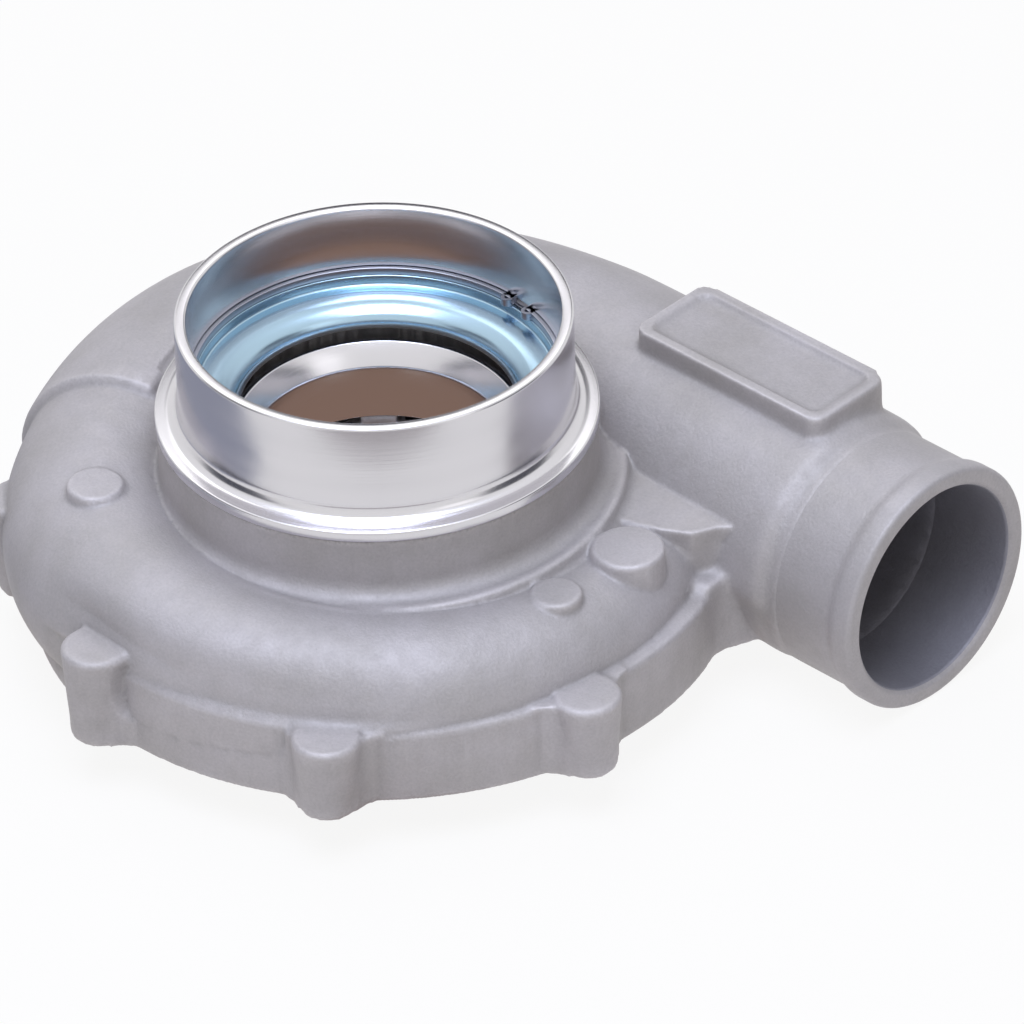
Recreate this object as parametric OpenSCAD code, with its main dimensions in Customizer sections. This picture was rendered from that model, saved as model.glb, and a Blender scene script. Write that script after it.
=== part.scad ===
/* [Inlet spigot] */
// Outside diameter of the spigot that takes the intake hose
inlet_od = 101.6; // [98:0.1:106]
// Wall of the spigot
inlet_wall = 3.1; // [2.8:0.1:4]
// Height of the inlet rim above the flange face
rim_z = 86; // [80:0.5:96]
// Chamfer on both edges of the rim
rim_chamfer = 0.7; // [0.3:0.1:1.2]
// Radius of the machined shoulder below the spigot
shoulder_r = 56.9; // [56:0.1:60]
// Height of the machined shoulder
shoulder_z = 58.5; // [57:0.1:60]
// Height of the machined band under the shoulder
band_h = 2.7; // [1.5:0.1:5]
// Radius of the hollow turned between spigot and shoulder
spigot_flare = 3.8; // [2.5:0.1:4.2]
// Radius of the cast collar under the machined band
collar_r = 56.4; // [55.5:0.1:57.4]

/* [Flange] */
// Radius of the flange wall
flange_r = 90.75; // [89:0.25:94]
// Height of the flange wall
flange_h = 20.7; // [18:0.1:24]
// Radius of the bore that seats the backplate
register_r = 82; // [79:0.5:83]
// Depth of the bore that seats the backplate
register_depth = 6; // [3:0.5:7]
// Number of bolt lugs on the front, beside the outlet and round to the left
front_lugs = 5; // [4:1:5]
// Angle between neighbouring lugs on the front
front_lug_pitch_deg = 42.5; // [40:0.5:44]
// Angles of the three bolt lugs under the scroll's large end
back_lug_degs = [-185.3, -233.4, -281.4]; // [-285:0.1:-182]
// Pitch circle radius of the bolt lugs
lug_pitch_r = 92.5; // [91:0.5:95]
// Radius of one bolt lug at its top
lug_r = 9; // [8:0.25:10]
// How much a lug narrows towards the flange face
lug_draft = 1.7; // [0:0.1:2]
// Angle of the lug beside the outlet
lug_start_deg = 30.4; // [28:0.1:33]
// Radius of the hollow blend beside each lug
lug_blend_r = 9; // [5:0.5:12]
// Tapping drill radius of the bolt holes, for M8
bolt_hole_r = 3.4; // [2.5:0.1:4]
// Depth of the blind bolt holes
bolt_hole_depth = 16; // [10:1:16]

/* [Scroll] */
// Angle of the scroll's small end, beside the outlet
tongue_deg = 26; // [22:1:28]
// Radius of the scroll section at its small end
scroll_r_start = 16.6; // [15:0.1:18]
// Radius of the scroll section where the straight outlet duct begins
scroll_r_end = 34.7; // [32:0.1:36]
// Distance of the section's centre from the axis on the front of the scroll
scroll_c_start = 69.2; // [68.5:0.1:70]
// The same distance on the left of the scroll
scroll_c_mid = 71.3; // [70:0.1:72]
// The same distance behind the spigot and where the duct begins
scroll_c_end = 77.6; // [76:0.1:78.5]
// Height of the section's centre on the front of the scroll
scroll_z_start = 18.2; // [17.2:0.1:19]
// Height of the section's centre behind the spigot, and of the outlet's axis
scroll_z_end = 19.6; // [19:0.1:20.5]
// How far the scroll is drawn in under its widest line
scroll_tuck = 3; // [0:0.25:4]
// Wall of the scroll
scroll_wall = 4.8; // [4:0.1:6]
// Height of the flat floor of the scroll passage
passage_floor = 12; // [11:0.5:13.5]
// Height of the raised flat on the back of the scroll
plateau_h = 2.2; // [0:0.1:3]
// Angle at which the raised flat begins
plateau_deg = -157; // [-160:1:-148]

/* [Outlet] */
// Outside diameter of the outlet pipe
outlet_od = 65; // [62:0.5:67]
// Bore of the outlet pipe
outlet_bore = 56.4; // [52:0.2:57]
// Distance of the outlet mouth from the compressor axis, along the pipe
outlet_x = 124.8; // [118:0.5:136]
// Distance of the outlet pipe from the compressor axis, across the pipe
outlet_y = 74; // [73.5:0.5:75]
// Height of the hose bead over the pipe
bead_h = 1.1; // [0.6:0.1:1.6]
// Length of the hose bead
bead_len = 7; // [4:0.5:10]
// Distance of the shoulder where the duct narrows to the pipe
duct_end_x = 95.4; // [94.4:0.2:96.4]
// Radius of the duct at its fullest
duct_r = 35.2; // [34.8:0.1:36.5]

/* [Wheel side] */
// Radius of the wheel bore at its inlet
bore_r = 32; // [30:0.25:33]
// Radius at which the wheel contour meets the diffuser
exducer_r = 46.5; // [44:0.5:50]
// Height of the diffuser face
diffuser_z = 8; // [7:0.25:8.5]
// Radius at which the diffuser opens to the scroll
diffuser_r = 64; // [62:0.5:66]
// Height at which the wheel contour starts to open out
contour_top_z = 31; // [29:0.5:33]
// Height at which the polished lead-in cone meets the bore
cone_z = 47; // [44:0.5:49]
// Height of the shroud ring's top edge
shroud_top_z = 52.5; // [50:0.5:54]
// Radius of the shroud ring's top edge
shroud_lip_r = 36; // [35:0.25:37]
// Outside radius of the shroud ring
shroud_r = 38; // [37.5:0.25:39]
// Width of the ledge between the spigot's bore and the recirculation chamber
ledge_w = 3.2; // [2.7:0.1:4.7]
// Height of the recirculation chamber's floor
chamber_floor_z = 27; // [25:0.5:28]
// Number of ribs that carry the shroud ring
rib_count = 4; // [3:1:6]
// Thickness of those ribs
rib_t = 4; // [3:0.5:6]
// Height of the bleed slot in the wheel bore
bleed_h = 3; // [2:0.25:3.5]

/* [Inlet baffle and snap ring] */
// Height of the ledge that the baffle sits on
ledge_z = 62; // [60:0.5:64]
// Sheet thickness of the baffle
baffle_t = 1.2; // [0.8:0.1:1.6]
// Height of the baffle's upturned edge
baffle_edge_h = 4; // [3:0.5:5]
// Throat radius of the baffle
throat_r = 35.5; // [34:0.25:37]
// Height of the baffle's throat
throat_z = 57; // [56:0.25:58]
// Radial gap between a loose ring and the wall around it
ring_gap = 0.3; // [0.2:0.05:0.6]
// Radial width of the snap ring
snap_w = 2.2; // [1.8:0.1:2.8]
// Thickness of the snap ring
snap_t = 2; // [1.4:0.1:2.4]
// Depth of the groove that holds the snap ring
groove_depth = 1.3; // [0.8:0.1:1.6]
// Angle of the opening in the snap ring
snap_gap_deg = 82.5; // [0:0.5:360]
// Width of that opening, in degrees
snap_gap_width = 7; // [5:1:12]

/* [Label pad and bosses] */
// Length of the raised pad on the duct
pad_len = 64; // [56:0.5:66]
// Width of the raised pad
pad_w = 27.4; // [24:0.2:29]
// Height of the pad's rim above the flange face
pad_z = 59.5; // [58:0.1:61]
// Corner radius of the pad
pad_corner_r = 4; // [2:0.5:6]
// Width of the pad's raised rim
pad_rim_w = 3; // [2:0.25:4]
// Depth of the pad's sunk field
pad_sink = 1.4; // [0.6:0.1:2]
// Radius of the tall round boss beside the collar
tall_boss_r = 9.5; // [8:0.25:10.5]
// Height of the tall boss above the flange face
tall_boss_z = 38.6; // [37:0.1:41]
// Radius of the low round boss on the front of the scroll
low_boss_r = 6.65; // [5:0.25:8]
// Height of the low boss above the flange face
low_boss_z = 38; // [37.4:0.1:40]
// Radius of the flat pad on the left of the scroll
left_boss_r = 7.4; // [6:0.25:9]
// Height of that pad above the flange face
left_boss_z = 45.6; // [45:0.1:48]
// Height of the web between collar, duct and flange
web_z = 35.8; // [32:0.5:36]

/* [Hidden] */
$fn = 96;

cut = 1;
cast_grey = [0.73, 0.73, 0.77];
zinc_blue = [0.72, 0.80, 0.88];
spring_steel = [0.40, 0.41, 0.44];

inlet_r = inlet_od / 2;
inlet_bore_r = inlet_r - inlet_wall;
chamber_r = inlet_bore_r - ledge_w;
flange_round = 1.6;
ridge_r = 62;
ridge_z = 38.4;
outlet_r = outlet_od / 2;
outlet_bore_r = outlet_bore / 2;
bead_r = outlet_r + bead_h;
duct_end_r = outlet_r + 2.1;
duct_round = 3;
under_tuck = 1.6;
clear_r = lug_pitch_r + 5.5;
pipe_root = 0.4;
slot_r = register_r - 3.5;
slot_mid_r = (slot_r + diffuser_r) / 2;
slot_step_deg = 3;
groove_z = ledge_z + baffle_edge_h;
groove_h = snap_t + 0.3;
groove_r = inlet_bore_r + groove_depth;
lug_degs = concat(
    [for (i = [0 : front_lugs - 1]) lug_start_deg - front_lug_pitch_deg * i],
    back_lug_degs);
lug_heights = [24, 22.1, 21.8, 27, 28, 24, 24, 24];
lugs = [0 : len(lug_degs) - 1];
lug_core_r = bolt_hole_r + 4.2;
lug_core_h = bolt_hole_depth + 4;
lug_edge = 1;
lug_root = 10.75;
bleed_z = chamber_floor_z + 1.6;
rib_h = 17;

scroll_turn = 296;
scroll_rings = 50;
skin_sides = 32;
passage_sides = 24;
duct_xs = [10, 20, 30, 40, 50, 60, 68, 76, 84, duct_end_x - duct_round - 0.6];
passage_turns = 38;
passage_start = 0.02;

web_outline = [
    [48, 23], [70, 30], [77.3, 34.2], [80.2, 40.5], [83.5, 43.5],
    [88.5, 46], [88.5, 60], [28, 60], [28, 44]];
web_root_z = 8;

pad_x = 59;
pad_y = 80.1;
tall_boss_at = [71.5, 16.5];
low_boss_at = [70.6, -9];
left_boss_at = [-42.2, -60.3];

// Value on the way from a to b
function mix(a, b, t) = a + (b - a) * t;

// Smooth step from 0 to 1 while x runs from lo to hi
function ease(lo, hi, x) =
    let (t = max(0, min(1, (x - lo) / (hi - lo))))
    t * t * (3 - 2 * t);

// Scroll station: s is 0 at the small end and 1 where the duct begins
function scroll_deg(s) = tongue_deg - scroll_turn * s;
function scroll_r(s) = mix(scroll_r_start, scroll_r_end, s);
function scroll_c(s) =
    mix(scroll_c_start, scroll_c_mid, ease(0.3, 0.55, s)) + (scroll_c_end - scroll_c_mid) * ease(0.6, 0.78, s);
function scroll_z(s) = mix(scroll_z_start, scroll_z_end, ease(0.4, 0.75, s));

// The raised flat fades in at its front edge and out behind the spigot
function plateau(s, a) =
    plateau_h
    * ease(plateau_deg, plateau_deg - 1.5, scroll_deg(s))
    * ease(-265, -230, scroll_deg(s))
    * ease(-20, 10, a)
    * ease(112, 104, a);

// Outside radius of a station at angle a of its section
function skin_r(s, a) =
    scroll_r(s) + plateau(s, a) - scroll_tuck * ease(0.25, 0.45, s) * ease(-10, -55, a);

// Closed section of a scroll station, cut flat at floor_z
function section(c, z, radii, floor_z) =
    let (n = len(radii))
    [for (i = [0 : n - 1])
        let (a = 360 * i / n)
        [c + radii[i] * cos(a), max(z + radii[i] * sin(a), floor_z)]];

function even(r, n) = [for (i = [0 : n - 1]) r];

// Angle of section point i, from -180 to 180
function side_deg(i, n) =
    let (a = 360 * i / n)
    a > 180 ? a - 360 : a;

// A section stood up on the half-plane at angle deg, and one stood across the duct at x
function on_turn(deg, pts) = [for (p = pts) [p[0] * cos(deg), p[0] * sin(deg), p[1]]];
function on_duct(x, pts) = [for (p = pts) [x, p[0], p[1]]];

// Duct station at distance x from the compressor axis
function duct_c(x) = mix(scroll_c_end, outlet_y, ease(0, duct_end_x, x));
function duct_body_r(x) =
    x < 36 ? mix(scroll_r_end, duct_r, ease(-36, 36, x) * 2 - 1)
           : mix(duct_r, duct_end_r, ease(36, duct_end_x, x));

// The duct's underside stays flat inside the backplate's circle and turns round outside it
function duct_drop(x, y) = ease(clear_r, clear_r + 10, norm([x, y])) * ease(20, 76, x);
function duct_section(x, radii, flat_z, low_z) =
    let (n = len(radii))
    [for (i = [0 : n - 1])
        let (a = 360 * i / n, y = duct_c(x) + radii[i] * cos(a))
        [y, max(scroll_z_end + radii[i] * sin(a), mix(flat_z, low_z, duct_drop(x, y)))]];

// Radius of the duct's underside
function duct_under_r(x, a) =
    mix(skin_r(1, a) - plateau(1, a), duct_end_r - under_tuck, ease(60, duct_end_x - duct_round, x));

skin_rings = concat(
    [for (k = [0 : scroll_rings])
        let (s = k / scroll_rings)
        on_turn(
            scroll_deg(s),
            section(
                scroll_c(s),
                scroll_z(s),
                [for (i = [0 : skin_sides - 1]) skin_r(s, side_deg(i, skin_sides))],
                0))],
    [for (x = duct_xs)
        on_duct(x, duct_section(x,
            [for (i = [0 : skin_sides - 1])
                let (a = side_deg(i, skin_sides))
                mix(duct_body_r(x), duct_under_r(x, a), ease(-10, -55, a))],
            0, scroll_z_end - duct_end_r + 1))],
    [for (q = [0, 30, 60, 90])
        let (x = duct_end_x - duct_round * (1 - sin(q)))
        on_duct(x, section(outlet_y, scroll_z_end,
            [for (i = [0 : skin_sides - 1])
                duct_end_r - 2.6 * (1 - cos(q)) - under_tuck * ease(-10, -55, side_deg(i, skin_sides))],
            -outlet_od))]);

passage_r_end = outlet_bore_r - 0.2;
passage_rings = concat(
    [for (k = [0 : passage_turns])
        let (s = mix(passage_start, 1, k / passage_turns))
        on_turn(scroll_deg(s),
            section(scroll_c(s), scroll_z(s), even(scroll_r(s) - scroll_wall, passage_sides), passage_floor))],
    [for (x = duct_xs)
        on_duct(x, duct_section(x,
            even(mix(scroll_r_end - scroll_wall, passage_r_end, ease(0, duct_end_x, x)), passage_sides),
            passage_floor, scroll_z_end - outlet_bore_r - cut))],
    [on_duct(duct_end_x + 2 * cut,
        section(outlet_y, scroll_z_end, even(passage_r_end, passage_sides), -outlet_od))]);

// Closed skin through a list of equal rings
module skin(rings) {
    n = len(rings[0]);
    last = len(rings) - 1;
    polyhedron(
        points = [for (ring = rings) each ring],
        faces = concat(
            [[for (i = [0 : n - 1]) i]],
            [[for (i = [n - 1 : -1 : 0]) last * n + i]],
            [for (k = [0 : last - 1])
                for (i = [0 : n - 1])
                    let (j = (i + 1) % n)
                    each [
                        [k * n + i, (k + 1) * n + i, (k + 1) * n + j],
                        [k * n + i, (k + 1) * n + j, k * n + j]
                    ]]));
}

// Turned outside of flange, collar, shoulder and spigot
module turned_body() {
    band_z = shoulder_z - band_h;
    rotate_extrude()
        polygon(concat(
            [[0, 0], [flange_r, 0], [flange_r, flange_h - flange_round]],
            [for (q = [30, 60, 90])
                [flange_r - flange_round * (1 - cos(q)), flange_h - flange_round * (1 - sin(q))]],
            [[84, flange_h + 0.6], [73, 29], [66.5, 33.6]],
            [[ridge_r + 2.4, ridge_z - 2.2], [ridge_r + 1.2, ridge_z - 0.6], [ridge_r, ridge_z]],
            [for (q = [15 : 25 : 90])
                [mix(ridge_r - 0.6, collar_r, sin(q)), mix(ridge_z + 4.2, ridge_z, cos(q))]],
            [[collar_r, band_z - 0.5], [shoulder_r, band_z], [shoulder_r, shoulder_z]],
            [for (q = [0 : 15 : 90])
                [inlet_r + spigot_flare * (1 - sin(q)), shoulder_z + spigot_flare * (1 - cos(q))]],
            [[inlet_r, rim_z - rim_chamfer], [inlet_r - rim_chamfer, rim_z], [0, rim_z]]));
}

// Hollow blends on both sides of a lug, running out in lug and flange wall
module lug_blend(h) {
    reach = flange_r + lug_blend_r;
    side = lug_r - lug_draft / 2 + lug_blend_r;
    spread = acos((lug_pitch_r ^ 2 + reach ^ 2 - side ^ 2) / (2 * lug_pitch_r * reach));
    middle = [reach * cos(spread), reach * sin(spread)];
    to_wall = 180 + spread;
    to_lug = 360 + atan2(-middle[1], lug_pitch_r - middle[0]);
    root = (flange_r - lug_root) * [cos(spread), sin(spread)];
    hollow = [for (t = [0 : 0.2 : 1])
        middle + (lug_blend_r + 0.06) * [cos(mix(to_wall, to_lug, t)), sin(mix(to_wall, to_lug, t))]];
    half = concat([root], hollow);
    linear_extrude(h)
        polygon(concat(
            half,
            [[lug_pitch_r, 0]],
            [for (i = [len(half) - 1 : -1 : 0]) [half[i][0], -half[i][1]]]));
}

module at_lug(i) {
    rotate([0, 0, lug_degs[i]])
        children();
}

module lug(i) {
    h = lug_heights[i];
    at_lug(i) {
        translate([lug_pitch_r, 0, 0]) {
            cylinder(r1 = lug_r - lug_draft, r2 = lug_r, h = h - lug_edge);
            translate([0, 0, h - lug_edge])
                cylinder(r1 = lug_r, r2 = lug_r - lug_edge, h = lug_edge);
        }
        lug_blend(h - lug_edge);
    }
}

module lug_core(i) {
    at_lug(i)
        translate([lug_pitch_r, 0, 1])
            cylinder(r = lug_core_r, h = lug_core_h);
}

module bolt_hole(i) {
    at_lug(i)
        translate([lug_pitch_r, 0, -cut])
            cylinder(r = bolt_hole_r, h = bolt_hole_depth + cut);
}

// Anything turned about the outlet pipe's axis
module about_outlet() {
    translate([0, outlet_y, scroll_z_end])
        rotate([0, 90, 0])
            children();
}

module outlet_pipe() {
    bead_x = outlet_x - bead_len;
    about_outlet()
        rotate_extrude()
            polygon([
                [0, duct_end_x - pipe_root],
                [outlet_r, duct_end_x - pipe_root],
                [outlet_r, bead_x - bead_h],
                [outlet_r + 0.6 * bead_h, bead_x - 0.4 * bead_h],
                [bead_r, bead_x + bead_h],
                [bead_r, outlet_x - 2],
                [bead_r - 0.6, outlet_x - 0.6],
                [bead_r - 2, outlet_x],
                [0, outlet_x]]);
}

module outlet_bore_cut() {
    about_outlet() {
        translate([0, 0, duct_end_x + cut])
            cylinder(r = outlet_bore_r, h = outlet_x);
        translate([0, 0, outlet_x - 1.2])
            cylinder(r1 = outlet_bore_r, r2 = outlet_bore_r + 2, h = 2);
    }
}

// Flat web that ties the collar to the duct beside the scroll's small end
module web() {
    translate([0, 0, web_root_z])
        linear_extrude(web_z - web_root_z)
            polygon(web_outline);
}

module rounded_plate(l, w, r, h) {
    linear_extrude(h) {
        square([l - 2 * r, w], center = true);
        square([l, w - 2 * r], center = true);
        for (x = [-1, 1])
            for (y = [-1, 1])
                translate([x * (l / 2 - r), y * (w / 2 - r)])
                    circle(r = r);
    }
}

module pad() {
    base_z = scroll_z_end + 20;
    translate([pad_x, pad_y, base_z])
        rounded_plate(pad_len, pad_w, pad_corner_r, pad_z - base_z);
}

module pad_field() {
    translate([pad_x, pad_y, pad_z - pad_sink])
        rounded_plate(pad_len - 2 * pad_rim_w, pad_w - 2 * pad_rim_w, pad_corner_r - 1, pad_sink + cut);
}

module boss(at, r, top_z) {
    edge = 0.6;
    translate([at[0], at[1], 20])
        cylinder(r = r, h = top_z - edge - 20);
    translate([at[0], at[1], top_z - edge])
        cylinder(r1 = r, r2 = r - edge, h = edge);
}

// Everything open along the compressor axis: backplate seat, diffuser, wheel bore, chamber, inlet
module turned_hollow() {
    rotate_extrude()
        polygon(concat(
            [[0, -cut], [register_r, -cut], [register_r, register_depth], [slot_mid_r, register_depth]],
            [[slot_mid_r, diffuser_z]],
            [for (q = [90 : -10 : 0])
                [
                    exducer_r - (exducer_r - bore_r) * cos(q),
                    contour_top_z - (contour_top_z - diffuser_z) * sin(q)
                ]],
            [[bore_r, cone_z], [shroud_lip_r, shroud_top_z], [shroud_lip_r + 0.6, shroud_top_z]],
            [[shroud_r, shroud_top_z - 1.4], [shroud_r, chamber_floor_z], [chamber_r, chamber_floor_z]],
            [[chamber_r, ledge_z], [inlet_bore_r, ledge_z], [inlet_bore_r, groove_z]],
            [[groove_r, groove_z], [groove_r, groove_z + groove_h], [inlet_bore_r, groove_z + groove_h]],
            [[inlet_bore_r, rim_z - rim_chamfer], [inlet_bore_r + rim_chamfer, rim_z]],
            [[inlet_bore_r + rim_chamfer, rim_z + cut], [0, rim_z + cut]]));
}

// Ring slot that opens the scroll passage to the diffuser
module scroll_slot() {
    low = register_depth - 2;
    translate([0, 0, low])
        linear_extrude(passage_floor + 3 - low)
            difference() {
                polygon([for (q = [0 : slot_step_deg : 359]) slot_r * [cos(q), sin(q)]]);
                polygon([for (q = [0 : slot_step_deg : 359]) diffuser_r * [cos(q), sin(q)]]);
            }
}

// Ribs that carry the shroud ring inside the chamber
module chamber_ribs() {
    for (i = [0 : rib_count - 1])
        rotate([0, 0, 45 + i * 360 / rib_count])
            translate([shroud_r - 1, -rib_t / 2, chamber_floor_z - 1])
                cube([chamber_r - shroud_r + 2, rib_t, rib_h]);
}

// Bleed slots from the wheel bore to the chamber, between the ribs
module bleed_slots() {
    bridge_deg = 16;
    span = 360 / rib_count - bridge_deg;
    for (i = [0 : rib_count - 1])
        rotate([0, 0, 45 + bridge_deg / 2 + i * 360 / rib_count])
            rotate_extrude(angle = span)
                translate([bore_r - 2, bleed_z])
                    square([shroud_r - bore_r + 3, bleed_h]);
}

// The casting before anything is hollowed out
module cast_form() {
    skin(skin_rings);
    turned_body();
    outlet_pipe();
    web();
    pad();
    boss(tall_boss_at, tall_boss_r, tall_boss_z);
    boss(low_boss_at, low_boss_r, low_boss_z);
    boss(left_boss_at, left_boss_r, left_boss_z);
    for (i = lugs)
        lug(i);
}

module housing() {
    color(cast_grey)
        difference() {
            union() {
                difference() {
                    cast_form();
                    skin(passage_rings);
                    scroll_slot();
                    turned_hollow();
                    pad_field();
                }
                for (i = lugs)
                    lug_core(i);
                chamber_ribs();
            }
            for (i = lugs)
                bolt_hole(i);
            bleed_slots();
            outlet_bore_cut();
        }
}

// Pressed ring: upturned edge, flat seat and a bell mouth that narrows to the throat
module inlet_baffle() {
    edge_r = inlet_bore_r - ring_gap;
    seat_r = chamber_r - 0.3;
    seat_top = ledge_z + baffle_t;
    drop = ledge_z - throat_z;
    bell = seat_r - throat_r;
    color(zinc_blue)
        rotate_extrude()
            polygon(concat(
                [[edge_r, ledge_z], [edge_r, ledge_z + baffle_edge_h]],
                [[edge_r - baffle_t, ledge_z + baffle_edge_h], [edge_r - baffle_t, seat_top]],
                [for (q = [0 : 10 : 90])
                    [seat_r - bell * sin(q), throat_z + (drop + baffle_t) * cos(q)]],
                [for (q = [90 : -10 : 0])
                    [seat_r - (bell - baffle_t) * sin(q), throat_z + drop * cos(q)]]));
}

// Open spring ring with a small eye at each end
module snap_ring() {
    outer = groove_r - ring_gap;
    inner = outer - snap_w;
    eye_r = 1.7;
    eye_deg = snap_gap_width / 2 + 1.6;
    color(spring_steel)
        translate([0, 0, groove_z + 0.1])
            difference() {
                union() {
                    rotate([0, 0, snap_gap_deg + snap_gap_width / 2])
                        rotate_extrude(angle = 360 - snap_gap_width)
                            translate([inner, 0])
                                square([snap_w, snap_t]);
                    for (side = [-1, 1])
                        rotate([0, 0, snap_gap_deg + side * eye_deg])
                            translate([inner, 0, 0])
                                cylinder(r = eye_r, h = snap_t);
                }
                for (side = [-1, 1])
                    rotate([0, 0, snap_gap_deg + side * eye_deg])
                        translate([inner - 0.2, 0, -cut])
                            cylinder(r = 0.8, h = snap_t + 2 * cut);
            }
}

housing();
inlet_baffle();
snap_ring();
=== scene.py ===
"""Compressor housing of a turbocharger: bead-blasted aluminium casting with a turned inlet."""

import bmesh
import bpy
import numpy as np
from math import atan2, cos, degrees, pi, radians, sin
from mathutils import Matrix, Vector


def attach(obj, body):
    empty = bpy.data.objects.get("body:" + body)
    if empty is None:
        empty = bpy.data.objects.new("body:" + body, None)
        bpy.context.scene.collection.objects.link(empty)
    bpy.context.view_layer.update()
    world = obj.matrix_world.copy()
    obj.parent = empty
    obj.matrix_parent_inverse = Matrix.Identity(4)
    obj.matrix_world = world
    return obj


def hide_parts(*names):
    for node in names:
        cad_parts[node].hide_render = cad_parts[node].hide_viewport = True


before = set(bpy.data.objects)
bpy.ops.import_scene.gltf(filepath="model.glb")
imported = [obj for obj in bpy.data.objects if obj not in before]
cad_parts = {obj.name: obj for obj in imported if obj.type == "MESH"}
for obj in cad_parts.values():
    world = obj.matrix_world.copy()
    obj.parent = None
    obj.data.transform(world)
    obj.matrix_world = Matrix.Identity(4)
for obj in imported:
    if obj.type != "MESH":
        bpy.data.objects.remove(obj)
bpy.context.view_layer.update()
scene = bpy.context.scene

MM = 0.001

# Sizes of the CAD model in millimetres and degrees. The inlet's axis is Z.
INLET_R = 50.8
INLET_BORE_R = 47.7
RIM_Z = 86.0
SHOULDER_R = 56.9
SHOULDER_Z = 58.5
FOOT_R = 3.8
BAND_Z = 55.8
COLLAR_R = 56.4
RIDGE_R = 62.2
RIDGE_Z = 38.5
LEDGE_Z = 62.0
GROOVE_Z = 66.0
GROOVE_WIDTH = 2.3
GROOVE_DEPTH = 1.3
CHAMBER_R = 44.5
SHROUD_R = 38.0
SHROUD_TOP_Z = 52.5
CONE_TOP_R = 36.2
CONE_Z = 47.0
BORE_R = 32.0
BLEED_Z = 28.6
BLEED_TOP_Z = 31.6
EXDUCER_R = 46.5
CONTOUR_TOP_Z = 31.0
DIFFUSER_R = 64.0
DIFFUSER_Z = 8.0
REGISTER_R = 82.0
THROAT_R = 35.5
THROAT_Z = 57.0
SNAP_GAP_DEG = 82.5
SNAP_GAP_WIDTH = 7.0
FLANGE_R = 90.75
FLANGE_H = 20.7
LUG_PITCH_R = 92.5
LUG_DEGS = (30.4, -12.1, -54.6, -97.1, -139.6, -185.3, -233.4, -281.4)
HOLE_DEPTH = 16.0
BACKPLATE_CLEAR_R = 98.0

# The scroll: its section is nearly a circle, which grows and moves outwards from the tongue to the duct
TONGUE_DEG = 26.0
VOLUTE_TURN = 296.0
VOLUTE_WALL = 4.8
SCROLL_R_START = 16.6
SCROLL_R_END = 34.7
SCROLL_C_START = 69.2
SCROLL_C_MID = 71.3
SCROLL_C_RISE = 6.3
SCROLL_Z_START = 18.2
UNDER_CUT = 3.0
PLATEAU_DEG = -157
PLATEAU_END_DEG = -265
PLATEAU_RISE = 2.2
TALL_BOSS_AT = (71.5, 16.5)
LOW_BOSS_AT = (70.6, -9)
LEFT_BOSS_AT = (-42.2, -60.3)

# The duct: it leaves along +X and narrows to the outlet pipe, which ends in a hose bead
DUCT_Y = 77.6
DUCT_MID_X = 36
DUCT_END_X = 95.4
DUCT_R = 35.2
DUCT_END_R = 34.6
DUCT_UNDER_R = 33.0
DUCT_LOW_Z = -14.0
PASSAGE_R = 29.9
PASSAGE_END_R = 28.0
PASSAGE_FLOOR_Z = 12.0
OUTLET_X = 124.8
OUTLET_Y = 74.0
OUTLET_Z = 19.6
OUTLET_R = 32.5
OUTLET_BORE_R = 28.2
BEAD_R = 33.6
BEAD_LEN = 7.0

# Where the blend from the duct to the pipe begins, and where the separately made mouth does
BLEND_X = DUCT_END_X - 3
MOUTH_FROM_X = 99.0

# The casting's skin: cell of the remesh in millimetres, rounds of smoothing, and the rates at which hollow
# corners fill and outer edges wear
VOXEL = 0.7
EDGE_ROUNDS = 1
BOTTOM_EDGE_ROUNDS = 5
FILLET_ROUNDS = 8
FILL_RATE = 0.5
WEAR_RATE = 0.08
TRIANGLES = 196000

# How far the skin is drawn back under the lathe work, and the height of the ridge's round bead
SINK = 0.45
RIDGE_BEAD = 0.9

FLOOR_Z = -14.1
WORLD_LIGHT = 0.3


def linear(hex_colour):
    """sRGB hex to linear RGBA"""
    c = [int(hex_colour[i:i + 2], 16) / 255 for i in (1, 3, 5)]
    return [v / 12.92 if v <= 0.04045 else ((v + 0.055) / 1.055) ** 2.4 for v in c] + [1.0]


def add_node(tree, kind, settings=None, **inputs):
    """Adds a node. An input is a socket's name with _ for a space, or i and its number"""
    node = tree.nodes.new(kind)
    for key, value in (settings or {}).items():
        setattr(node, key, value)
    for key, value in inputs.items():
        numbered = key[0] == "i" and key[1:].isdigit()
        socket = node.inputs[int(key[1:]) if numbered else key.replace("_", " ")]
        if isinstance(value, bpy.types.NodeSocket):
            tree.links.new(value, socket)
        else:
            socket.default_value = value
    return node


def new_material(name):
    """A node material, with its tree and its Principled shader"""
    mat = bpy.data.materials.new(name)
    mat.use_nodes = True
    return mat, mat.node_tree, mat.node_tree.nodes["Principled BSDF"]


def in_scene(name, data):
    """A new object of the scene with this mesh, lamp or camera"""
    thing = bpy.data.objects.new(name, data)
    scene.collection.objects.link(thing)
    return thing


def as_mesh(bm, name):
    """Turns a bmesh into a mesh"""
    mesh = bpy.data.meshes.new(name)
    bm.to_mesh(mesh)
    bm.free()
    return mesh


# Materials. A noise cell is 1 / Scale metres wide.

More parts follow.
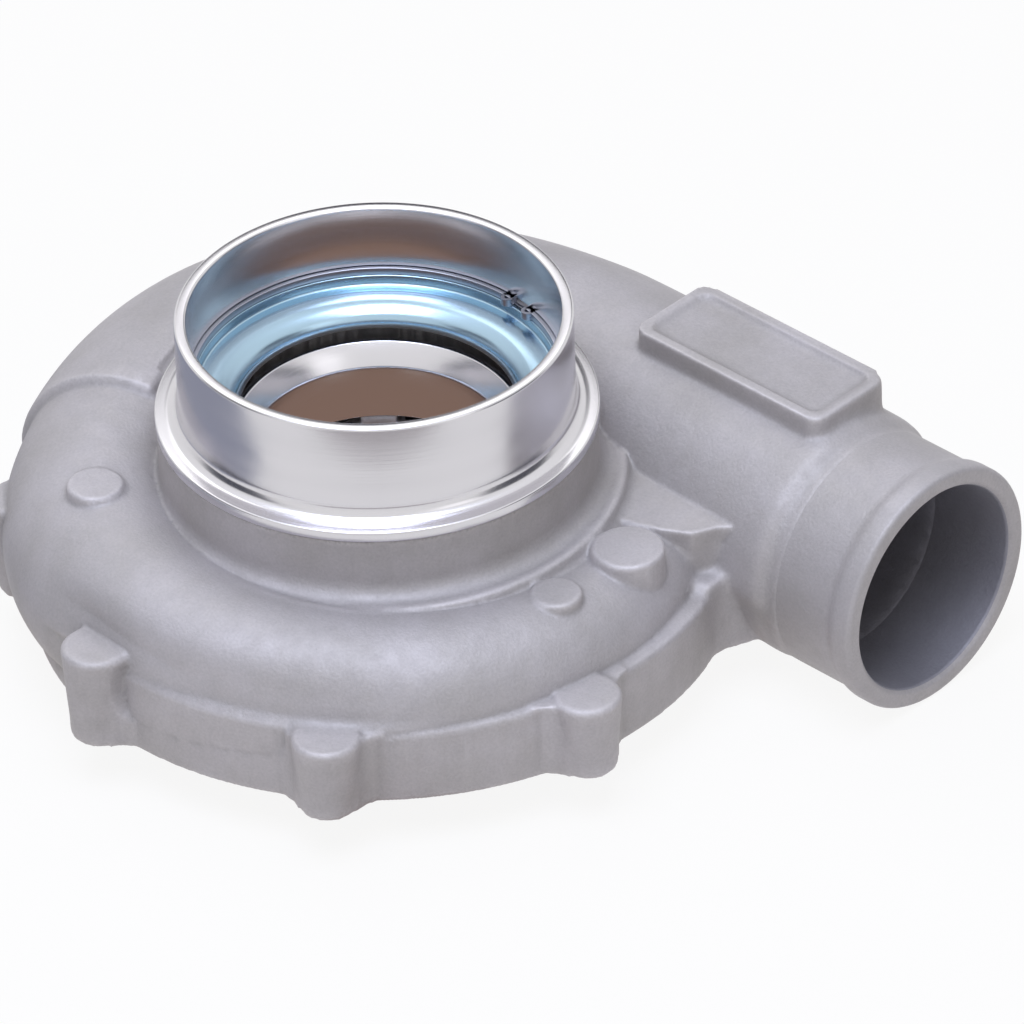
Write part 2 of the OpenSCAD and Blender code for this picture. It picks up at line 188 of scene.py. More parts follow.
def sand_cast_aluminium(name, dark, light, paint_edge_shading=True):
    """Sand cast, then bead blasted: an even satin grey with a cool tint and the fine grain of the sand"""
    mat, tree, shader = new_material(name)
    place = add_node(tree, "ShaderNodeTexCoord").outputs["Object"]
    # sand grain of 0.8 mm, unevenness of 4 mm and clouds of 36 mm
    grain = add_node(tree, "ShaderNodeTexNoise", Vector=place, Scale=1300.0, Detail=3.0, Roughness=0.6)
    swell = add_node(tree, "ShaderNodeTexNoise", Vector=place, Scale=260.0, Detail=2.0, Roughness=0.5)
    cloud = add_node(tree, "ShaderNodeTexNoise", Vector=place, Scale=28.0, Detail=3.0, Roughness=0.6)
    tint = add_node(tree, "ShaderNodeValToRGB", Fac=cloud.outputs["Fac"])
    for stop, at, colour in zip(tint.color_ramp.elements, (0.32, 0.68), (dark, light)):
        stop.position = at
        stop.color = linear(colour)
    speck = add_node(tree, "ShaderNodeMapRange", Value=grain.outputs["Fac"],
                     From_Min=0.3, From_Max=0.7, To_Min=0.93, To_Max=1.05)
    multiply = {"data_type": "RGBA", "blend_type": "MULTIPLY"}
    paint = add_node(tree, "ShaderNodeMix", multiply,
                     i0=1.0, i6=tint.outputs["Color"], i7=speck.outputs["Result"])
    # painted highlights on outer edges and painted shade in hollow corners: the mesh's pointiness makes
    # convex edges lighter and creases darker
    bend = add_node(tree, "ShaderNodeNewGeometry").outputs["Pointiness"]
    edge_shading = add_node(tree, "ShaderNodeMapRange", Value=bend,
                   From_Min=0.44, From_Max=0.58, To_Min=0.67, To_Max=1.44)
    paint_with_edge_shading = add_node(tree, "ShaderNodeMix", multiply,
                    i0=float(paint_edge_shading), i6=paint.outputs[2], i7=edge_shading.outputs["Result"])
    tree.links.new(paint_with_edge_shading.outputs[2], shader.inputs["Base Color"])
    rough = add_node(tree, "ShaderNodeMapRange", Value=swell.outputs["Fac"],
                     From_Min=0.3, From_Max=0.7, To_Min=0.56, To_Max=0.66)
    tree.links.new(rough.outputs["Result"], shader.inputs["Roughness"])
    shader.inputs["Metallic"].default_value = 0.4
    low = add_node(tree, "ShaderNodeBump", Strength=0.3, Distance=0.5 * MM, Height=swell.outputs["Fac"])
    fine = add_node(tree, "ShaderNodeBump", Strength=0.6, Distance=0.18 * MM,
                    Height=grain.outputs["Fac"], Normal=low.outputs["Normal"])
    tree.links.new(fine.outputs["Normal"], shader.inputs["Normal"])
    return mat


def turned_aluminium(name, rough, colour):
    """Turned about the inlet's axis: bright, with fine tool rings that draw highlights out across them"""
    mat, tree, shader = new_material(name)
    place = add_node(tree, "ShaderNodeTexCoord").outputs["Object"]
    parts = add_node(tree, "ShaderNodeSeparateXYZ", Vector=place)
    squares = [add_node(tree, "ShaderNodeMath", {"operation": "MULTIPLY"}, i0=s, i1=s).outputs[0]
               for s in (parts.outputs["X"], parts.outputs["Y"])]
    total = add_node(tree, "ShaderNodeMath", {"operation": "ADD"}, i0=squares[0], i1=squares[1])
    radius = add_node(tree, "ShaderNodeMath", {"operation": "SQRT"}, i0=total.outputs[0])
    rings = add_node(tree, "ShaderNodeCombineXYZ", X=radius.outputs[0], Y=parts.outputs["Z"]).outputs[0]
    # feed marks 0.25 mm apart would be too fine to show, so they are drawn at about 0.6 mm, in bands of 6 mm
    feed = add_node(tree, "ShaderNodeTexNoise", Vector=rings, Scale=1700.0, Detail=4.0, Roughness=0.7)
    bands = add_node(tree, "ShaderNodeTexNoise", Vector=rings, Scale=160.0, Detail=2.0)
    tone = add_node(tree, "ShaderNodeMapRange", Value=bands.outputs["Fac"],
                    From_Min=0.3, From_Max=0.7, To_Min=rough - 0.04, To_Max=rough + 0.06)
    tree.links.new(tone.outputs["Result"], shader.inputs["Roughness"])
    shader.inputs["Base Color"].default_value = linear(colour)
    shader.inputs["Metallic"].default_value = 1.0
    shader.inputs["Anisotropic"].default_value = 0.7
    tangent = add_node(tree, "ShaderNodeTangent", {"direction_type": "RADIAL", "axis": "Z"})
    tree.links.new(tangent.outputs[0], shader.inputs["Tangent"])
    bump = add_node(tree, "ShaderNodeBump", Strength=0.12, Distance=0.08 * MM, Height=feed.outputs["Fac"])
    tree.links.new(bump.outputs["Normal"], shader.inputs["Normal"])
    return mat


# the casting's material carries the painted edge highlights and the painted shade in its creases; the mouth's
# and the raw one have none
CAST = sand_cast_aluminium("bead-blasted cast aluminium", "#aca7a5", "#bbb6b7")
MOUTH = sand_cast_aluminium("bead-blasted cast aluminium, mouth", "#aca7a5", "#bbb6b7", False)
RAW = sand_cast_aluminium("raw cast aluminium", "#8e8c93", "#9c9aa1", False)
TURNED = turned_aluminium("turned aluminium", 0.2, "#d6d4d8")
FACED = turned_aluminium("faced aluminium", 0.32, "#c9c9cf")
ZINC = turned_aluminium("blue-white zinc plated steel", 0.2, "#adc8da")
SPRING = turned_aluminium("bright spring steel", 0.3, "#b4b8c4")


# Shapes that are spun

def finish_mesh(bm, name, materials, smooth_deg=35):
    """Puts a bmesh that was worked in millimetres into the scene"""
    bmesh.ops.remove_doubles(bm, verts=bm.verts, dist=1e-4)
    bmesh.ops.recalc_face_normals(bm, faces=bm.faces)
    bmesh.ops.scale(bm, vec=(MM, MM, MM), verts=bm.verts)
    for face in bm.faces:
        face.smooth = True
    mesh = as_mesh(bm, name)
    for mat in materials:
        mesh.materials.append(mat)
    mesh.set_sharp_from_angle(angle=radians(smooth_deg))
    return in_scene(name, mesh)


def add_part(bm, part):
    """Adds the faces of one bmesh to another"""
    mesh = as_mesh(part, "part")
    bm.from_mesh(mesh)
    bpy.data.meshes.remove(mesh)


def turned_ring(bm, points, steps=192, from_deg=0.0, turn_deg=360.0, about_outlet=False):
    """Spins a closed profile of (radius, height, corner radius) about the inlet's axis or the outlet's"""
    new = bmesh.new()
    if about_outlet:
        centre, direction = Vector((0, OUTLET_Y, OUTLET_Z)), Vector((1, 0, 0))
        verts = [new.verts.new((h, OUTLET_Y, OUTLET_Z + r)) for r, h, _ in points]
    else:
        q = radians(from_deg)
        centre, direction = Vector((0, 0, 0)), Vector((0, 0, 1))
        verts = [new.verts.new((r * cos(q), r * sin(q), h)) for r, h, _ in points]
    new.faces.new(verts)
    for size in sorted({c for _, _, c in points if c}):
        corners = [v for v, (_, _, c) in zip(verts, points) if c == size]
        bmesh.ops.bevel(new, geom=corners, offset=size, offset_type="OFFSET", affect="VERTICES",
                        segments=4, profile=0.5, material=-1)
    if turn_deg == 360.0:
        bmesh.ops.delete(new, geom=new.faces[:], context="FACES_ONLY")
        bmesh.ops.spin(new, geom=new.edges[:], cent=centre, axis=direction,
                       angle=2 * pi, steps=steps, use_merge=True)
    else:
        bmesh.ops.spin(new, geom=new.faces[:], cent=centre, axis=direction,
                       angle=radians(turn_deg), steps=steps)
    add_part(bm, new)


def arc(r0, h0, size_r, size_h, from_deg, to_deg, count):
    """Profile points of a bend about (r0, h0)"""
    return [(r0 + size_r * cos(q), h0 + size_h * sin(q), 0)
            for q in np.radians(np.linspace(from_deg, to_deg, count + 1))]


def turned_inlet():
    """Lathe work: spigot, shoulder and ledge; shroud ring with its cone; wheel contour and diffuser"""
    bm = bmesh.new()
    groove_r, groove_top = INLET_BORE_R + GROOVE_DEPTH, GROOVE_Z + GROOVE_WIDTH
    turned_ring(bm, [(INLET_BORE_R, RIM_Z, 0.7), (INLET_BORE_R, groove_top, 0.15),
                     (groove_r, groove_top, 0.2), (groove_r, GROOVE_Z, 0.2),
                     (INLET_BORE_R, GROOVE_Z, 0.15), (INLET_BORE_R, LEDGE_Z, 0.4),
                     (CHAMBER_R, LEDGE_Z, 0.4), (CHAMBER_R, LEDGE_Z - 1.6, 0), (50, 54.6, 0),
                     (COLLAR_R - 0.3, BAND_Z - 0.8, 0), (SHOULDER_R, BAND_Z, 0.2),
                     (SHOULDER_R, SHOULDER_Z, 0.5)]
                + arc(INLET_R + FOOT_R, SHOULDER_Z + FOOT_R, FOOT_R, FOOT_R, 270, 180, 8)
                + [(INLET_R, RIM_Z, 0.7)])
    turned_ring(bm, [(BORE_R, BLEED_TOP_Z, 0.3), (SHROUD_R, BLEED_TOP_Z, 0.3), (SHROUD_R, SHROUD_TOP_Z, 1.0),
                     (CONE_TOP_R, SHROUD_TOP_Z, 0.3), (BORE_R, CONE_Z, 0.5)])
    # the last points lie inside the casting
    turned_ring(bm, [(BORE_R, BLEED_Z, 0.3)]
                + arc(EXDUCER_R, CONTOUR_TOP_Z, BORE_R - EXDUCER_R, DIFFUSER_Z - CONTOUR_TOP_Z, 8, 90, 16)
                + [(DIFFUSER_R, DIFFUSER_Z, 0.4), (DIFFUSER_R, 9.6, 0),
                   (48, 10, 0), (42, 14, 0), (37.4, 24, 0), (37.4, BLEED_Z, 0)])
    return finish_mesh(bm, "turned_inlet", [TURNED])


def outlet_mouth():
    """The outer length of the outlet pipe, with its hose bead and the bevelled mouth"""
    bm = bmesh.new()
    bead_x = OUTLET_X - BEAD_LEN
    turned_ring(bm, [(OUTLET_BORE_R, MOUTH_FROM_X, 0), (OUTLET_R, MOUTH_FROM_X, 0),
                     (OUTLET_R, bead_x - 1.1, 1.2), (BEAD_R, bead_x + 1.1, 1.2),
                     (BEAD_R, OUTLET_X, 1.5), (OUTLET_BORE_R + 1.2, OUTLET_X, 0.4),
                     (OUTLET_BORE_R, OUTLET_X - 1.2, 0.5)], about_outlet=True)
    piece = finish_mesh(bm, "outlet_mouth", [MOUTH, RAW], smooth_deg=50)
    for poly in piece.data.polygons:
        mid = poly.center / MM
        poly.material_index = int(Vector((mid.y - OUTLET_Y, mid.z - OUTLET_Z)).length < OUTLET_BORE_R + 0.3)
    return piece


def inlet_baffle():
    """Pressed sheet ring: upturned edge, seat on the ledge and a bell that narrows to the throat"""
    bm = bmesh.new()
    edge_r, seat_r, sheet = INLET_BORE_R - 0.3, CHAMBER_R - 0.3, 1.2
    bell, drop = seat_r - THROAT_R, LEDGE_Z - THROAT_Z
    turned_ring(bm, [(edge_r, LEDGE_Z, 0.5), (edge_r, GROOVE_Z, 0.3), (edge_r - sheet, GROOVE_Z, 0.3),
                     (edge_r - sheet, LEDGE_Z + sheet, 0.6)]
                + arc(seat_r, THROAT_Z, -bell, drop + sheet, 90, 0, 14)
                + arc(seat_r, THROAT_Z, -(bell - sheet), drop, 0, 90, 14))
    return finish_mesh(bm, "baffle", [ZINC])


def snap_ring():
    """Open spring ring with a small eye at each end"""
    bm = bmesh.new()
    outer, thick = INLET_BORE_R + 1.0, 2
    inner = outer - 2.2
    low = GROOVE_Z + 0.1
    top = low + thick
    turned_ring(bm, [(inner, low, 0.2), (outer, low, 0.2), (outer, top, 0.2), (inner, top, 0.2)],
                steps=180, from_deg=SNAP_GAP_DEG + SNAP_GAP_WIDTH / 2, turn_deg=360 - SNAP_GAP_WIDTH)
    eye_hole_r, eye_r = 0.8, 1.7
    for side in (-1, 1):
        q = radians(SNAP_GAP_DEG + side * (SNAP_GAP_WIDTH / 2 + 1.6))
        eye = bmesh.new()
        verts = [eye.verts.new((r, 0, low + h))
                 for r, h in ((eye_hole_r, 0), (eye_r, 0), (eye_r, thick), (eye_hole_r, thick))]
        edges = [eye.edges.new((verts[i], verts[(i + 1) % 4])) for i in range(4)]
        bmesh.ops.spin(eye, geom=edges, cent=(0, 0, 0), axis=(0, 0, 1),
                       angle=2 * pi, steps=24, use_merge=True)
        bmesh.ops.translate(eye, vec=(inner * cos(q), inner * sin(q), 0), verts=eye.verts)
        add_part(bm, eye)
    return finish_mesh(bm, "retaining_ring", [SPRING])


# The volute's form, as in the CAD model: s is 0 at the tongue and 1 where the duct begins, and a is the angle
# about the section's centre, 0 outwards and 90 upwards

def ease(lo, hi, x):
    """Smooth step from 0 to 1 while x runs from lo to hi"""
    t = np.clip((x - lo) / (hi - lo), 0, 1)
    return t * t * (3 - 2 * t)


def mix(a, b, t):
    """Straight blend from a to b"""
    return a + (b - a) * t


def scroll_r(s):
    """Radius of the scroll's section"""
    return mix(SCROLL_R_START, SCROLL_R_END, s)


def volute_centre(s):
    """The section's centre: its distance from the axis and its height"""
    c = mix(SCROLL_C_START, SCROLL_C_MID, ease(0.3, 0.55, s)) + SCROLL_C_RISE * ease(0.6, 0.78, s)
    return c, mix(SCROLL_Z_START, OUTLET_Z, ease(0.4, 0.75, s))


def volute_skin(s, a):
    """Radius of the scroll's outside, with the plateau on its back and the undercut below"""
    scroll_deg = TONGUE_DEG - VOLUTE_TURN * s
    plateau = (PLATEAU_RISE * ease(PLATEAU_DEG, PLATEAU_DEG - 1.5, scroll_deg)
               * ease(PLATEAU_END_DEG, PLATEAU_END_DEG + 35, scroll_deg)
               * ease(-20, 10, a) * ease(112, 104, a))
    return scroll_r(s) + plateau - UNDER_CUT * ease(0.25, 0.45, s) * ease(-10, -55, a)


def duct_y(x):
    """Y of the duct's axis"""
    return mix(DUCT_Y, OUTLET_Y, ease(0, DUCT_END_X, x))


def duct_passage_r(x):
    """Radius of the passage in the duct"""
    return mix(PASSAGE_R, PASSAGE_END_R, ease(0, DUCT_END_X, x))


def duct_skin(x, a):
    """Radius of the duct's outside"""
    low = ease(-10, -55, a)
    body = np.where(x < DUCT_MID_X, mix(SCROLL_R_END, DUCT_R, ease(-DUCT_MID_X, DUCT_MID_X, x) * 2 - 1),
                    mix(DUCT_R, DUCT_END_R, ease(DUCT_MID_X, DUCT_END_X, x)))
    under = mix(SCROLL_R_END - UNDER_CUT * low, DUCT_UNDER_R, ease(60, BLEND_X, x))
    return mix(body, under, low)


def about_volute(co):
    """Radius, degrees past the tongue, s, the section's centre, and the angle and distance from that"""
    x, y, z = co.T
    rho = np.hypot(x, y)
    turn = np.mod(TONGUE_DEG - np.degrees(np.arctan2(y, x)), 360)
    s = turn / VOLUTE_TURN
    c, z0 = volute_centre(s)
    return rho, turn, s, c, z0, np.degrees(np.arctan2(z - z0, rho - c)), np.hypot(rho - c, z - z0)


# The casting. Its vertices are worked on as an array of millimetres, one row each.

def to_true_form(co):
    """Moves vertices that lie on a flat facet of the CAD's volute, duct or flange to the true curve"""
    x, y, z = co.T
    rho, turn, s, c, z0, a, r = about_volute(co)
    plateau_edge = (np.abs(turn - TONGUE_DEG + PLATEAU_DEG) < 8) & (a > -30) & (a < 125) & (rho > 63)
    for true_r, low, reach in ((volute_skin(s, a), 0.4, np.where(plateau_edge, 2.6, 0.5)),
                               (scroll_r(s) - VOLUTE_WALL, PASSAGE_FLOOR_Z + 0.5, 0.5)):
        hit = (s <= 1) & (np.abs(r - true_r) < reach) & (z > low)
        new_rho = c + true_r * np.cos(np.radians(a))
        for k, unit in ((0, x / rho), (1, y / rho)):
            co[hit, k] = (new_rho * unit)[hit]
        co[hit, 2] = (z0 + true_r * np.sin(np.radians(a)))[hit]
    x, y, z = co.T
    cy = duct_y(x)
    a = np.degrees(np.arctan2(z - OUTLET_Z, y - cy))
    r = np.hypot(y - cy, z - OUTLET_Z)
    in_duct = (x > 0) & (x < BLEND_X) & (y > 30)
    for true_r, flat_z in ((duct_skin(x, a), 0.0), (duct_passage_r(x), PASSAGE_FLOOR_Z)):
        hit = in_duct & (np.abs(r - true_r) < 0.5) & (np.abs(z - flat_z) > 0.4)
        co[hit, 1] = (cy + true_r * np.cos(np.radians(a)))[hit]
        co[hit, 2] = (OUTLET_Z + true_r * np.sin(np.radians(a)))[hit]
    x, y, z = co.T
    rho = np.hypot(x, y)
    wall = (np.abs(rho - FLANGE_R) < 0.3) & (z < 19) & (z > 0.55)
    co[wall, :2] *= (FLANGE_R / rho[wall])[:, None]
    bottom_edge = (np.abs(rho - FLANGE_R) < 0.6) & (z < 0.55)
    co[bottom_edge, :2] *= ((FLANGE_R - 0.15) / rho[bottom_edge])[:, None]
    co[bottom_edge, 2] = 0
    pipe_r = np.hypot(y - OUTLET_Y, z - OUTLET_Z)
    pipe = (x > DUCT_END_X + 1.5) & (np.abs(pipe_r - OUTLET_R) < 0.4)
    for k, mid in ((1, OUTLET_Y), (2, OUTLET_Z)):
        co[pipe, k] = mid + (co[pipe, k] - mid) * (OUTLET_R / pipe_r[pipe])
    return co


def cast_edges(co):
    """Draws the scroll's bulge in to the flange's edge between front lugs, and rounds the collar's ridge"""
    x, y, z = co.T
    rho, turn, s, c, z0, a, r = about_volute(co)
    skin = (np.abs(r - volute_skin(s, a)) < 0.7) & (s <= 1) & (a < 70)
    drawn = ease(140, 126, turn) * ease(58, 82, turn)
    over = np.maximum(c + scroll_r(s) - FLANGE_R, 0)
    lean = 2.0 * ease(FLANGE_H, FLANGE_H + 3, z) * ease(40, 27, z)
    # a pull of more than 3.2 mm would meet the wall of the passage
    inward = np.minimum(over * ease(38, FLANGE_H, z) + lean, 3.2)
    back = np.where(z < FLANGE_H, np.maximum(rho - FLANGE_R, 0), inward) * drawn * skin
    gap = np.hypot(rho - RIDGE_R, z - RIDGE_Z)
    bead = RIDGE_BEAD * (1 + np.cos(pi * np.minimum(gap / 2.6, 1))) / 2
    out = bead * 0.7 - back
    co[:, 0] += x / rho * out
    co[:, 1] += y / rho * out
    co[:, 2] += bead * 0.7
    return co


def even_underside(co, normals):
    """Past the backplate's circle the duct's flat underside and floor run down to round ones in one slope"""
    x, y, z = co.T
    off = y - duct_y(x)
    far = np.hypot(x, y)
    drop = ease(BACKPLATE_CLEAR_R, BACKPLATE_CLEAR_R + 10, far) * ease(20, 76, x)
    sheets = []
    for r, flat_z, low_z in ((duct_skin(x, -90 + 0 * x), 0.0, DUCT_LOW_Z),
                             (duct_passage_r(x), PASSAGE_FLOOR_Z, OUTLET_Z - OUTLET_BORE_R - 1)):
        bowl = OUTLET_Z - np.sqrt(np.maximum(r * r - off * off, 0))
        sheets.append(np.maximum(bowl, mix(flat_z, low_z, drop)))
    outside, inside = sheets
    near = ((x > 18) & (x < BLEND_X) & (z < PASSAGE_FLOOR_Z + 0.5) & (off > -22) & (off < 0.8 * DUCT_UNDER_R)
            & (far > 90))
    # on upright facets the height tells the outside from the floor, elsewhere the normal does
    upright = np.abs(normals[:, 2]) <= 0.3
    below = np.where(upright, z < (outside + inside) / 2, normals[:, 2] < 0)
    near &= ~upright | (far > BACKPLATE_CLEAR_R - 1)
    for hit, sheet in ((near & below, outside), (near & ~below, inside)):
        co[hit, 2] = sheet[hit]
    return co


def vectors(collection, key):
    """The coordinates or normals of a mesh, one row each"""
    values = np.empty(len(collection) * 3, np.float32)
    collection.foreach_get(key, values)
    return values.reshape(-1, 3)


def move_vertices(mesh, co):
    """Writes millimetres back to the mesh"""
    mesh.vertices.foreach_set("co", (co * MM).astype(np.float32).ravel())
    mesh.update()


def settle(mesh, co, freedom, rounds, soft_rounds):
    """Soft as cast: hollow corners fill with a fillet while outer edges only lose their sharpness"""
    edges = np.empty(len(mesh.edges) * 2, np.int32)
    mesh.edges.foreach_get("vertices", edges)
    one, two = edges.reshape(-1, 2).T
    ends = np.concatenate([one, two])
    others = np.concatenate([two, one])
    neighbours = np.bincount(ends, minlength=len(co))[:, None]
    for i in range(rounds):
        move_vertices(mesh, co)
        middle = np.stack([np.bincount(ends, co[others, k], len(co)) for k in range(3)], 1) / neighbours
        step = middle - co
        outward = (step * vectors(mesh.vertex_normals, "vector")).sum(1)
        rate = np.where((outward > 0) | (i < soft_rounds), FILL_RATE, WEAR_RATE)
        co = co + step * (rate * freedom)[:, None]
    return co


def soften(mesh, co):
    """Settles the skin, most about the bosses and the duct and least at bolt holes and machined faces"""
    x, y, z = co.T
    rho = np.hypot(x, y)
    well_filled = (y > 30) & (x > 20)
    for at, reach in ((TALL_BOSS_AT, 14), (LOW_BOSS_AT, 10), (LEFT_BOSS_AT, 11)):
        well_filled |= np.hypot(x - at[0], y - at[1]) < reach
    freedom = np.where(well_filled, 0.9, 0.4)
    for q in np.radians(LUG_DEGS):
        from_hole = np.hypot(x - LUG_PITCH_R * cos(q), y - LUG_PITCH_R * sin(q))
        freedom[(from_hole < 5.5) & (z < HOLE_DEPTH + 1)] = 0.05
    freedom[(rho < REGISTER_R + 1.5) & (z < 8.5)] = 0.05
    freedom[(rho < 46) & (z > 7)] = 0.1
    soft_rounds = np.where((z < 2) & (rho > 84), BOTTOM_EDGE_ROUNDS, EDGE_ROUNDS)
    # the slope under the duct, the duct's end and the corner between duct and flange are smoothed again
    melted = (x > 30) & (x < 95) & (y > 50) & (z < 11.5) & (rho > 94)
    melted |= (x > 87) & (x < 99) & (y > 30)
    melted |= (np.abs(x - 81) < 8) & (np.abs(y - 37) < 8) & (np.abs(z - 22) < 9)
    co = settle(mesh, co, freedom, FILLET_ROUNDS, soft_rounds)
    return settle(mesh, co, 0.9 * melted, 2 * FILLET_ROUNDS, 2 * FILLET_ROUNDS)


def make_room(co, normals):
    """Flattens the bottom face and draws the skin back under the turned inlet and the outlet mouth"""
    x, y, z = co.T
    rho = np.hypot(x, y)
    co[(np.abs(z) < 0.5) & (normals[:, 2] < -0.9), 2] = 0
    contour_r = EXDUCER_R - (EXDUCER_R - BORE_R) * np.sqrt(
        np.clip(1 - ((CONTOUR_TOP_Z - z) / (CONTOUR_TOP_Z - DIFFUSER_Z)) ** 2, 0, 1))
    covered = ((z > BAND_Z - 0.6) & (rho > 46) & (rho < 62)) | ((z > LEDGE_Z - 0.6) & (rho < 62))
    covered |= (rho < SHROUD_R + 0.3) & (z > BLEED_TOP_Z - 0.4)
    covered |= (rho < contour_r + 0.9) & (z < BLEED_Z + 0.4) & (z > DIFFUSER_Z)
    covered |= (rho < DIFFUSER_R + 0.3) & (z < DIFFUSER_Z + 0.9)
    covered &= ~((rho > SHROUD_R - 0.8) & (rho < CHAMBER_R + 0.6) & (z < 45))
    co[covered] -= normals[covered] * SINK
    x, y, z = co.T
    pipe_r = np.hypot(y - OUTLET_Y, z - OUTLET_Z)
    mouth = (x > MOUTH_FROM_X + 0.3) & (pipe_r < 40)
    keep = np.clip(pipe_r, OUTLET_BORE_R + SINK, OUTLET_R - SINK) / pipe_r
    for k, mid in ((1, OUTLET_Y), (2, OUTLET_Z)):
        co[mouth, k] = mid + (co[mouth, k] - mid) * keep[mouth]
    co[:, 0] = np.minimum(co[:, 0], OUTLET_X - 0.6)
    return co


def inside_passage(p):
    """Whether a point in millimetres lies on the wall of the volute's passage or of the duct"""
    if p.x > 0 and p.y > 40:
        return p.x < 100 and Vector((p.y - 76, p.z - OUTLET_Z)).length < 30.6 - 0.02 * p.x
    turn = (TONGUE_DEG - degrees(atan2(p.y, p.x))) % 360
    if turn > VOLUTE_TURN:
        return False
    c, z0 = volute_centre(turn / VOLUTE_TURN)
    return Vector((p.xy.length - c, p.z - z0)).length < scroll_r(turn / VOLUTE_TURN) - VOLUTE_WALL + 0.7


def applied(piece):
    """The piece's mesh with its modifiers worked in"""
    mesh = bpy.data.meshes.new_from_object(piece.evaluated_get(bpy.context.evaluated_depsgraph_get()))
    piece.modifiers.clear()
    piece.data = mesh
    return mesh


def cast_body():
    """The casting: the CAD solid with true curves, soft edges and fillets, drawn back under the lathe work"""
    bm = bmesh.new()
    bm.from_mesh(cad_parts["housing"].data)
    bmesh.ops.remove_doubles(bm, verts=bm.verts, dist=1e-6)
    piece = in_scene("casting", as_mesh(bm, "casting"))
    remesh = piece.modifiers.new("fine skin", "REMESH")
    remesh.mode = "VOXEL"
    remesh.voxel_size = VOXEL * MM
    mesh = applied(piece)
    normals = vectors(mesh.vertex_normals, "vector")
    co = cast_edges(to_true_form(vectors(mesh.vertices, "co").astype(float) / MM))
    co = soften(mesh, even_underside(co, normals))
    move_vertices(mesh, make_room(co, vectors(mesh.vertex_normals, "vector")))
    thin = piece.modifiers.new("thin out", "DECIMATE")
    thin.ratio = min(1.0, TRIANGLES / (2 * len(mesh.polygons)))
    mesh = applied(piece)
    for mat in (CAST, FACED, RAW):
        mesh.materials.append(mat)
    for poly in mesh.polygons:
        poly.use_smooth = True
        mid = poly.center / MM
        faced = mid.z < 0.3 and poly.normal.z < -0.9 and mid.x < 88
        seat = mid.z < 6.6 and mid.xy.length < REGISTER_R + 0.6
        poly.material_index = 1 if faced or seat else 2 if inside_passage(mid) else 0
    return piece


for make, node in ((cast_body, "housing"), (turned_inlet, "housing"), (outlet_mouth, "housing"),
                   (inlet_baffle, "inlet_baffle"), (snap_ring, "snap_ring")):
    made = make()
    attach(made, "root")
    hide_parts(node)


# Floor, light and camera

def seen_ray(tree):
    """1 for rays that show the background: from the camera, in metal and through glass"""
    path = add_node(tree, "ShaderNodeLightPath")
    first = add_node(tree, "ShaderNodeMath", {"operation": "MAXIMUM"}, i0=path.outputs["Is Camera Ray"],
                     i1=path.outputs["Is Glossy Ray"])
    return add_node(tree, "ShaderNodeMath", {"operation": "MAXIMUM"}, i0=first.outputs[0],
                    i1=path.outputs["Is Transmission Ray"]).outputs[0]


def studio_floor():
    """White paper that takes the shadow and glows towards the camera, so that it comes out white"""
    bm = bmesh.new()
    bmesh.ops.create_grid(bm, x_segments=1, y_segments=1, size=4.0)
    bmesh.ops.translate(bm, vec=(0, 0, FLOOR_Z * MM), verts=bm.verts)
    floor = in_scene("floor", as_mesh(bm, "floor"))
    mat, tree, shader = new_material("white paper sweep")
    shader.inputs["Base Color"].default_value = linear("#f4efea")
    shader.inputs["Roughness"].default_value = 0.9
    glow = add_node(tree, "ShaderNodeEmission", Strength=1.0)
    share = add_node(tree, "ShaderNodeMath", {"operation": "MULTIPLY"}, i0=seen_ray(tree), i1=0.9)
    blend = add_node(tree, "ShaderNodeMixShader",
                     Fac=share.outputs[0], i1=shader.outputs[0], i2=glow.outputs[0])
    tree.links.new(blend.outputs[0], tree.nodes["Material Output"].inputs["Surface"])
    floor.data.materials.append(mat)


def white_world():
    """White where it is seen, and dim as a light"""
    world = bpy.data.worlds.new("studio")
    world.use_nodes = True
    scene.world = world
    tree = world.node_tree
    back = tree.nodes["Background"]
    strength = add_node(tree, "ShaderNodeMapRange", Value=seen_ray(tree), To_Min=WORLD_LIGHT, To_Max=1.0)
    tree.links.new(strength.outputs["Result"], back.inputs["Strength"])
    back.inputs["Color"].default_value = (1, 1, 1, 1)


def facing(place, aim):
    """The turn that points -Z from a place to its aim"""
    return (Vector(aim) - Vector(place)).to_track_quat("-Z", "Y")


def softbox(name, place, aim, size, power, colour="#ffffff"):
    """A rectangular lamp, in metres and watts"""
    lamp = bpy.data.lights.new(name, "AREA")
    lamp.shape = "RECTANGLE"
    lamp.size, lamp.size_y = size
    lamp.energy = power
    lamp.color = linear(colour)[:3]
    holder = in_scene(name, lamp)
    holder.location = place
    holder.rotation_euler = facing(place, aim).to_euler()


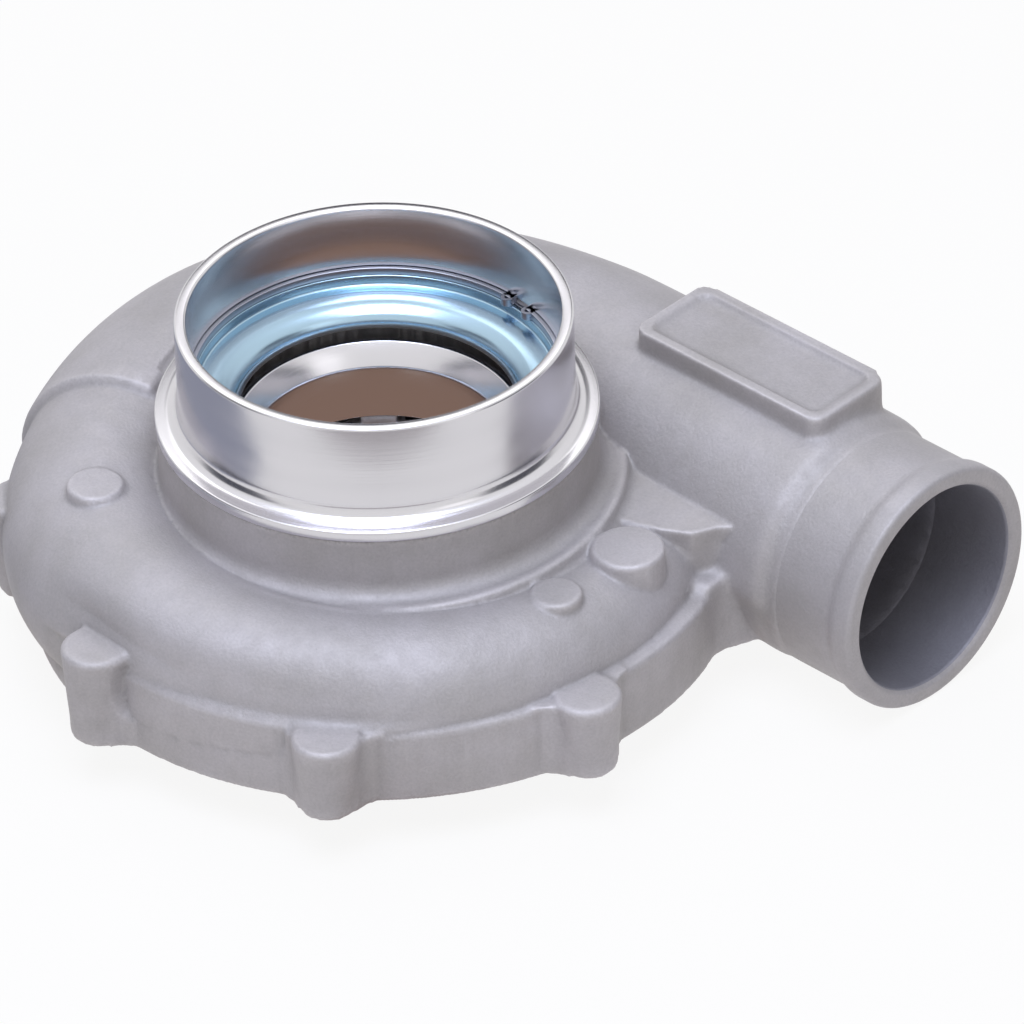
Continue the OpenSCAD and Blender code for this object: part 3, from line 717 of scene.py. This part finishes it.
def reflected_card(name, place, aim, size, colour, turn_deg=0.0, strength=1.0):
    """A card that only shows in the metal, as a photographer sets one to draw an edge"""
    bm = bmesh.new()
    bmesh.ops.create_grid(bm, x_segments=1, y_segments=1, size=0.5)
    bmesh.ops.scale(bm, vec=(size[0], size[1], 1), verts=bm.verts)
    bmesh.ops.rotate(bm, matrix=Matrix.Rotation(radians(turn_deg), 3, "Z"), verts=bm.verts)
    bmesh.ops.transform(bm, matrix=facing(place, aim).to_matrix().to_4x4(), verts=bm.verts)
    bmesh.ops.translate(bm, vec=place, verts=bm.verts)
    card = in_scene(name, as_mesh(bm, name))
    card.visible_camera = card.visible_diffuse = card.visible_shadow = card.visible_transmission = False
    mat, tree, shader = new_material(name)
    glow = add_node(tree, "ShaderNodeEmission", Color=linear(colour), Strength=strength)
    tree.links.new(glow.outputs[0], tree.nodes["Material Output"].inputs["Surface"])
    card.data.materials.append(mat)


def floor_card(name, x, y, lift_mm, size, colour, turn_deg=0.0):
    """A card that lies on the floor, each at its own height so that no two share a plane"""
    reflected_card(name, (x, y, (FLOOR_Z + lift_mm) * MM), (x, y, 1), size, colour, turn_deg)


def photo_camera():
    """Stands where the photograph was taken from and looks at the point in the middle of the picture"""
    a, e, roll = radians(44.625), radians(35.794), radians(-1.826)
    middle, metres_away = Vector((30.918, 16.314, 30.007)) * MM, 2.7359
    back = Vector((sin(a) * cos(e), -cos(a) * cos(e), sin(e)))
    side = Vector((cos(a), sin(a), 0))
    over = back.cross(side)
    right = cos(roll) * side + sin(roll) * over
    up = -sin(roll) * side + cos(roll) * over
    data = bpy.data.cameras.new("camera")
    data.lens = 376.16
    data.sensor_width = 36
    data.clip_end = 50
    camera = in_scene("camera", data)
    turn = Matrix((right, up, back)).transposed().to_4x4()
    camera.matrix_world = Matrix.Translation(middle + back * metres_away) @ turn
    scene.camera = camera


studio_floor()
white_world()
softbox("key light", (0.3, -0.5, 1.8), (0, 0, 0), (1.2, 1.2), 28, "#dce6ff")
softbox("back light", (-0.9, 0.6, 1.5), (0, 0, 0), (1.2, 1.0), 5)
reflected_card("dark card behind", (-0.75, 0.9, 0.55), (0, 0, 0.06), (0.9, 0.5), "#4c4a52")
reflected_card("dark card right", (0.95, 0.62, 0.40), (0, 0, 0.06), (0.9, 0.7), "#4a4b55")
reflected_card("dark card left", (-0.70, -0.92, 0.40), (0, 0, 0.06), (0.9, 0.7), "#4c4e59")
reflected_card("bright card right", (1.07, 0.0, 0.74), (0, 0, 0.05), (0.5, 0.4), "#ffffff", strength=1.5)
floor_card("grey card front", 0.20, -0.205, 0.5, (0.10, 0.34), "#b6b2b4", 44.6)
floor_card("grey card left", -0.25, -0.12, 0.7, (0.3, 0.3), "#9ea2b2", -27)
floor_card("warm card under", 0, 0, 0.4, (0.16, 0.16), "#947a6c")
photo_camera()
scene.view_settings.view_transform = "Standard"
